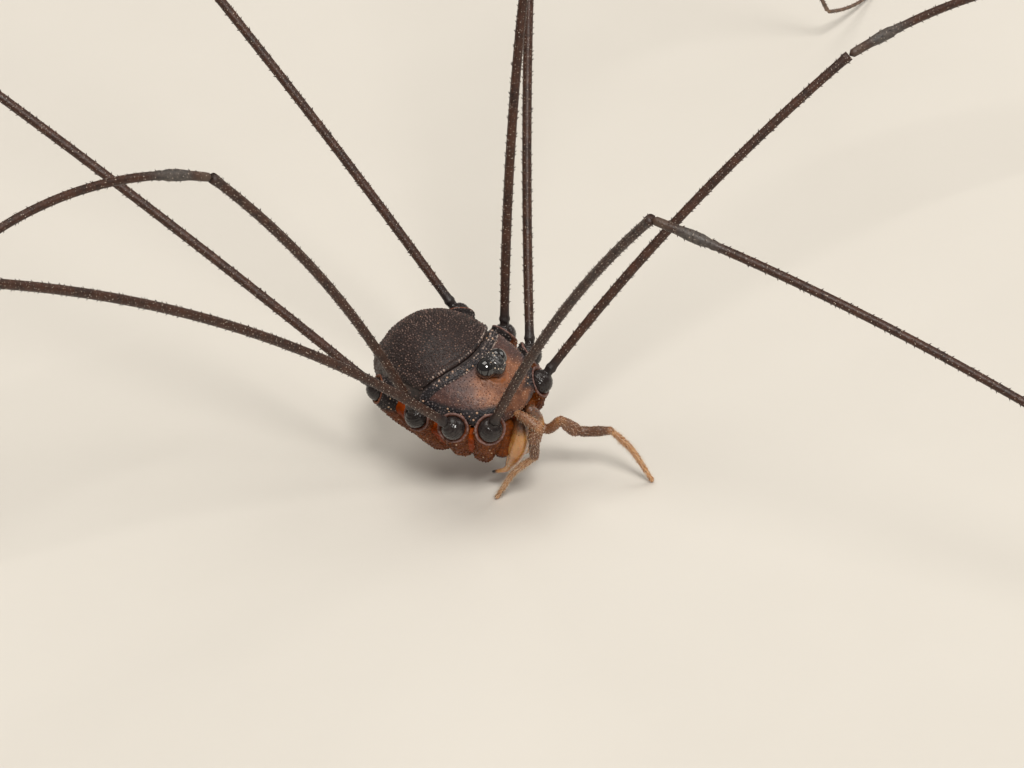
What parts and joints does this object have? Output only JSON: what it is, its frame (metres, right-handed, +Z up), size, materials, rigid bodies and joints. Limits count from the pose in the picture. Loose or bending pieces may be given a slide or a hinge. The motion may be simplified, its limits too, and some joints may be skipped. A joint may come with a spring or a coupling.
{
  "type": "harvestman",
  "caption": "Life-size harvestman standing on its long thin legs, with a granulate dark back, rust head shield and both feelers touching the ground",
  "frame": {"origin": "on the ground under the middle of the whole animal, legs included", "axes": "+Z up, the animal faces -Y, its own left is +X"},
  "size_m": [0.2114, 0.1306, 0.0248],
  "materials": {
    "dorsal_shield": "dark brown granulate cuticle",
    "head_shield": "rust brown granulate cuticle",
    "belly": "dark soft cuticle",
    "chest": "orange soft cuticle",
    "hip": "orange-brown granulate cuticle",
    "eye": "glossy black lens",
    "eye_mound": "black granulate cuticle",
    "leg": "dark brown cuticle with a reddish core",
    "feeler": "brown cuticle with fine hairs",
    "pincer": "amber cuticle, glossy"
  },
  "bodies": {
    "root": {"belly": "belly", "chest": "chest", "dorsal_shield": "dorsal_shield", "eye_left": "eye", "eye_mound": "eye_mound", "eye_right": "eye", "feeler_left_femur": "feeler", "feeler_left_tarsus": "feeler", "feeler_left_tibia": "feeler", "feeler_right_femur": "feeler", "feeler_right_tarsus": "feeler", "feeler_right_tibia": "feeler", "head_shield": "head_shield", "hip_left_1": "hip", "hip_left_2": "hip", "hip_left_3": "hip", "hip_left_4": "hip", "hip_right_1": "hip", "hip_right_2": "hip", "hip_right_3": "hip", "hip_right_4": "hip", "leg_left_1_femur": "leg", "leg_left_1_metatarsus": "leg", "leg_left_1_tarsus": "leg", "leg_left_1_tibia": "leg", "leg_left_2_femur": "leg", "leg_left_2_metatarsus": "leg", "leg_left_2_tarsus": "leg", "leg_left_2_tibia": "leg", "leg_left_3_femur": "leg", "leg_left_3_metatarsus": "leg", "leg_left_3_tarsus": "leg", "leg_left_3_tibia": "leg", "leg_left_4_femur": "leg", "leg_left_4_metatarsus": "leg", "leg_left_4_tarsus": "leg", "leg_left_4_tibia": "leg", "leg_right_1_femur": "leg", "leg_right_1_metatarsus": "leg", "leg_right_1_tarsus": "leg", "leg_right_1_tibia": "leg", "leg_right_2_femur": "leg", "leg_right_2_metatarsus": "leg", "leg_right_2_tarsus": "leg", "leg_right_2_tibia": "leg", "leg_right_3_femur": "leg", "leg_right_3_metatarsus": "leg", "leg_right_3_tarsus": "leg", "leg_right_3_tibia": "leg", "leg_right_4_femur": "leg", "leg_right_4_metatarsus": "leg", "leg_right_4_tarsus": "leg", "leg_right_4_tibia": "leg", "mouth_lobe_left": "hip", "mouth_lobe_right": "hip", "pincer_left": "pincer", "pincer_right": "pincer"}
  },
  "joints": []
}
